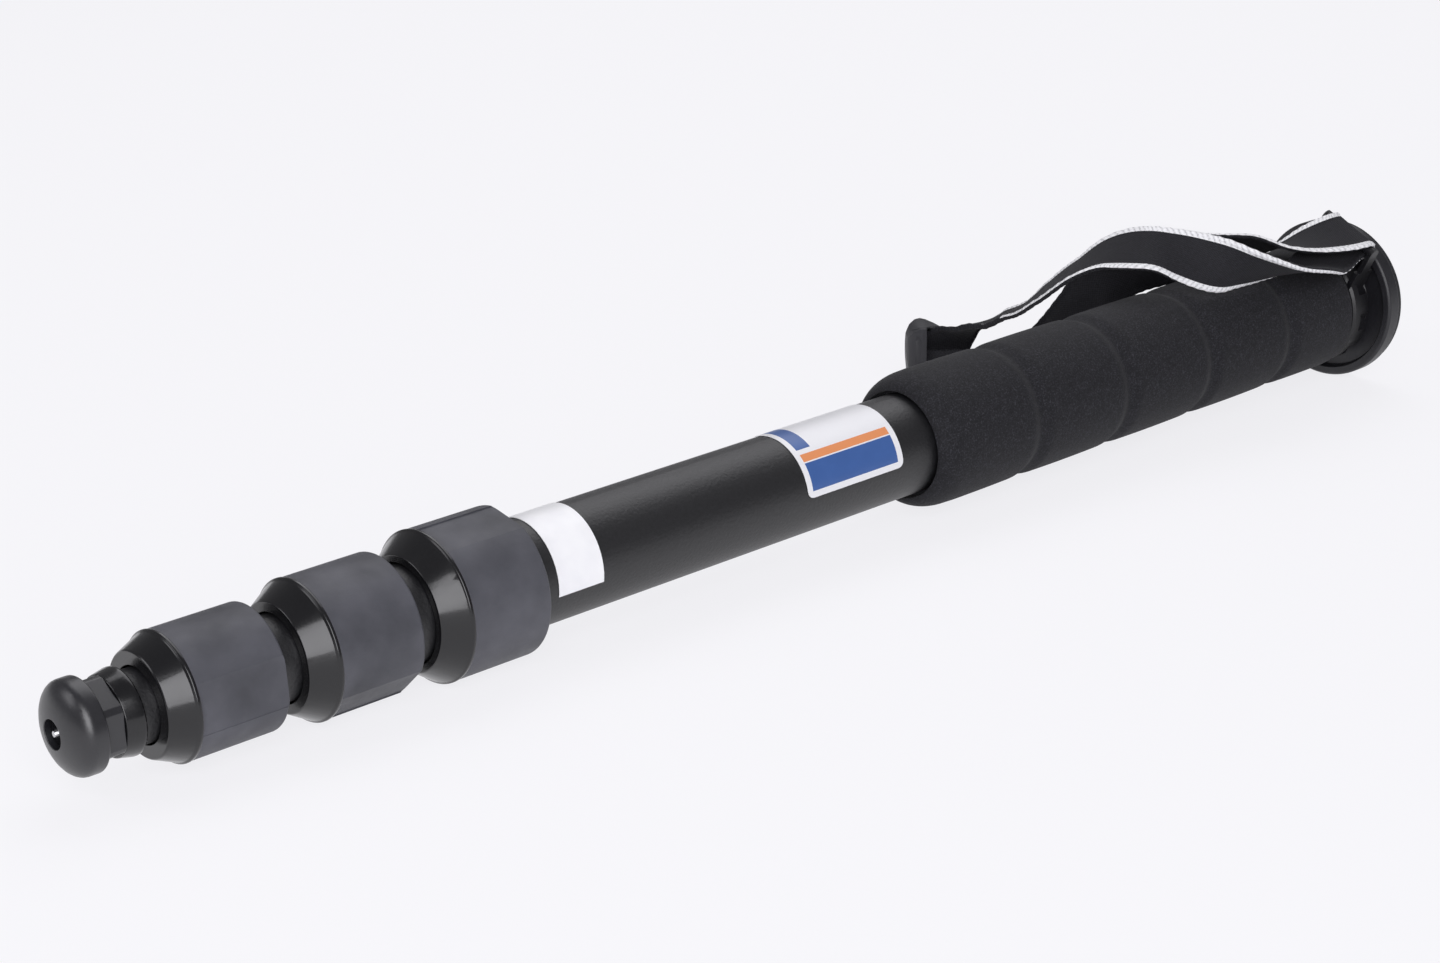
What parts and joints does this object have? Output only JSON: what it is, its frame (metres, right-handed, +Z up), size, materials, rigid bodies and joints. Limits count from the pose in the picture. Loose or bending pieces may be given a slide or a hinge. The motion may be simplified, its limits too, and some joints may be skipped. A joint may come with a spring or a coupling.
{
  "type": "camera monopod",
  "caption": "Closed telescopic camera monopod with twist locks, foam grip, round camera plate with stud, webbing wrist loop and a screw-back rubber foot over a spike.",
  "frame": {"origin": "centre of the camera plate's pad face, on the monopod's axis", "axes": "+X out of the head along the camera stud, +Z up as the monopod lies on its side, +Y to the side where the strap lies"},
  "size_m": [0.5289, 0.1137, 0.0717],
  "materials": {
    "plate_pad": "matt",
    "plate_metal": "satin",
    "steel": "bright",
    "black_plastic": "satin",
    "webbing": "ribbed weave with pale edges",
    "keeper_rubber": "matt",
    "foam": "fine foam",
    "tube_black": "black, fine texture",
    "label": "printed film",
    "sticker": "plain white film",
    "ferrule_metal": "threaded",
    "pale_plastic": "smooth",
    "gloss_black": "gloss",
    "grip_rubber": "matt",
    "bush_brass": "turned",
    "foot_rubber": "satin"
  },
  "bodies": {
    "upper": {"plate_pad": "plate_pad", "camera_plate": "plate_metal", "camera_stud": "steel", "plate_screws": "steel", "head_plug": "black_plastic", "strap_collar": "black_plastic", "strap_bar": "steel", "strap": "webbing", "strap_keeper": "keeper_rubber", "foam_grip": "foam", "main_tube": "tube_black", "tube_label": "label", "plain_sticker": "sticker", "ferrule_1": "ferrule_metal", "collet_1": "pale_plastic"},
    "lock_1": {"lock_1_collar": "gloss_black", "lock_1_sleeve": "grip_rubber"},
    "section_2": {"tube_2": "tube_black", "guide_bush_2": "pale_plastic", "ferrule_2": "ferrule_metal", "collet_2": "pale_plastic"},
    "lock_2": {"lock_2_collar": "gloss_black", "lock_2_sleeve": "grip_rubber"},
    "section_3": {"tube_3": "tube_black", "guide_bush_3": "pale_plastic", "ferrule_3": "ferrule_metal", "collet_3": "pale_plastic"},
    "lock_3": {"lock_3_collar": "gloss_black", "lock_3_sleeve": "grip_rubber"},
    "section_4": {"tube_4": "tube_black", "guide_bush_4": "pale_plastic", "foot_plug": "gloss_black", "spike": "steel"},
    "foot_carrier": {"foot_bush": "bush_brass"},
    "foot": {"foot_skirt": "gloss_black", "foot_pad": "foot_rubber"}
  },
  "joints": [
    {"name": "lock_1_turn", "type": "hinge", "parent": "upper", "child": "lock_1", "pos_m": [-0.39, 0, 0], "axis": [-1, 0, 0], "range_deg": [0, 150]},
    {"name": "section_2_slide", "type": "slide", "parent": "upper", "child": "section_2", "axis": [-1, 0, 0], "range_m": [0, 0.32]},
    {"name": "lock_2_turn", "type": "hinge", "parent": "section_2", "child": "lock_2", "pos_m": [-0.43, 0, 0], "axis": [-1, 0, 0], "range_deg": [0, 150]},
    {"name": "section_3_slide", "type": "slide", "parent": "section_2", "child": "section_3", "axis": [-1, 0, 0], "range_m": [0, 0.355]},
    {"name": "lock_3_turn", "type": "hinge", "parent": "section_3", "child": "lock_3", "pos_m": [-0.47, 0, 0], "axis": [-1, 0, 0], "range_deg": [0, 150]},
    {"name": "section_4_slide", "type": "slide", "parent": "section_3", "child": "section_4", "axis": [-1, 0, 0], "range_m": [0, 0.39]},
    {"name": "foot_advance", "type": "slide", "parent": "section_4", "child": "foot_carrier", "axis": [1, 0, 0], "range_m": [0, 0.0036]},
    {"name": "foot_turn", "type": "hinge", "parent": "foot_carrier", "child": "foot", "pos_m": [-0.512, 0, 0], "axis": [1, 0, 0], "range_deg": [0, 864]}
  ],
  "couplings": [
    {"joint": "foot_advance", "follows": "foot_turn", "m_per_rad": 0.00023873}
  ]
}
